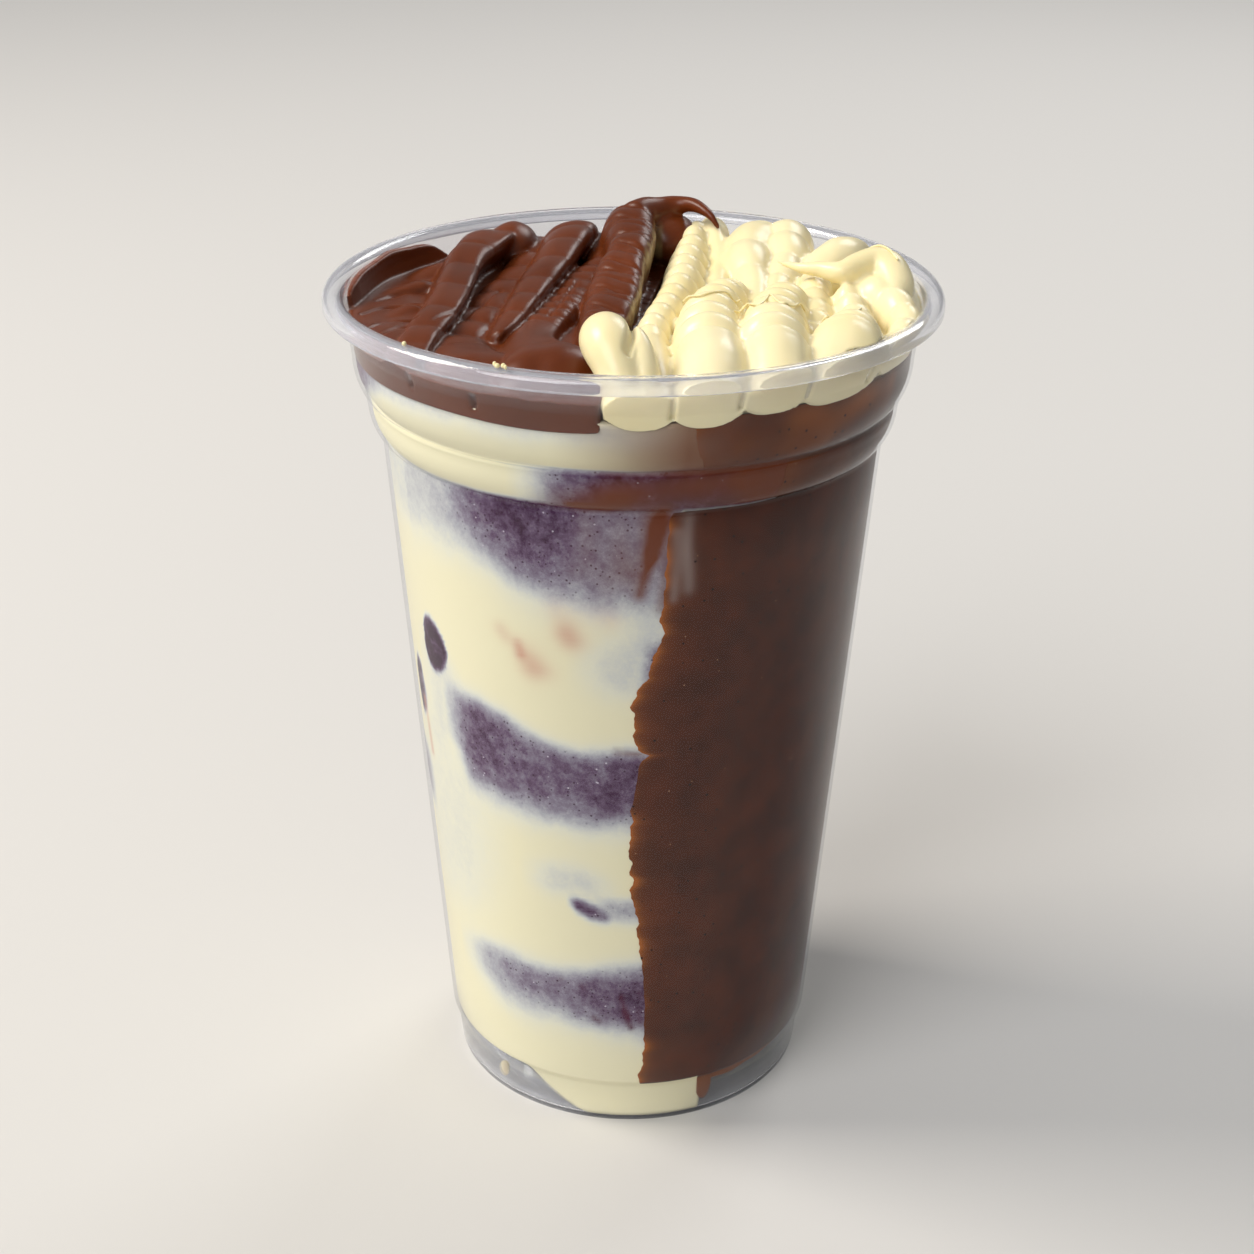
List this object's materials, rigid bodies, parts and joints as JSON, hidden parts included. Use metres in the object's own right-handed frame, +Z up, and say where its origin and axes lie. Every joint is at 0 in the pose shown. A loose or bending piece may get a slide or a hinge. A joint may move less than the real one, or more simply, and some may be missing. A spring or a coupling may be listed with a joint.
{
  "type": "acai cup",
  "caption": "Clear tapered dessert cup filled with acai, its wall coated in cream and chocolate, topped with piped chocolate spread and piped ivory cream.",
  "frame": {"origin": "middle of the foot ring, on the surface the cup stands on", "axes": "+Z up along the cup's axis, -Y towards the front that the picture shows, +X to its right, so the chocolate is on the +X side of the wall"},
  "size_m": [0.095, 0.095, 0.1427],
  "materials": {
    "cup_plastic": "clear thin-walled thermoformed plastic, glossy",
    "acai": "frozen fruit pulp, speckled, moist",
    "cream": "smooth pale cream against the wall",
    "dark_chocolate": "dark chocolate sauce against the wall",
    "milk_chocolate": "piped milk chocolate spread, satin gloss",
    "ivory_cream": "piped ivory cream, satin gloss"
  },
  "bodies": {
    "root": {"cup": "cup_plastic", "acai_core": "acai", "cream_coat": "cream", "chocolate_coat": "dark_chocolate", "chocolate_topping": "milk_chocolate", "cream_topping": "ivory_cream"}
  },
  "joints": []
}
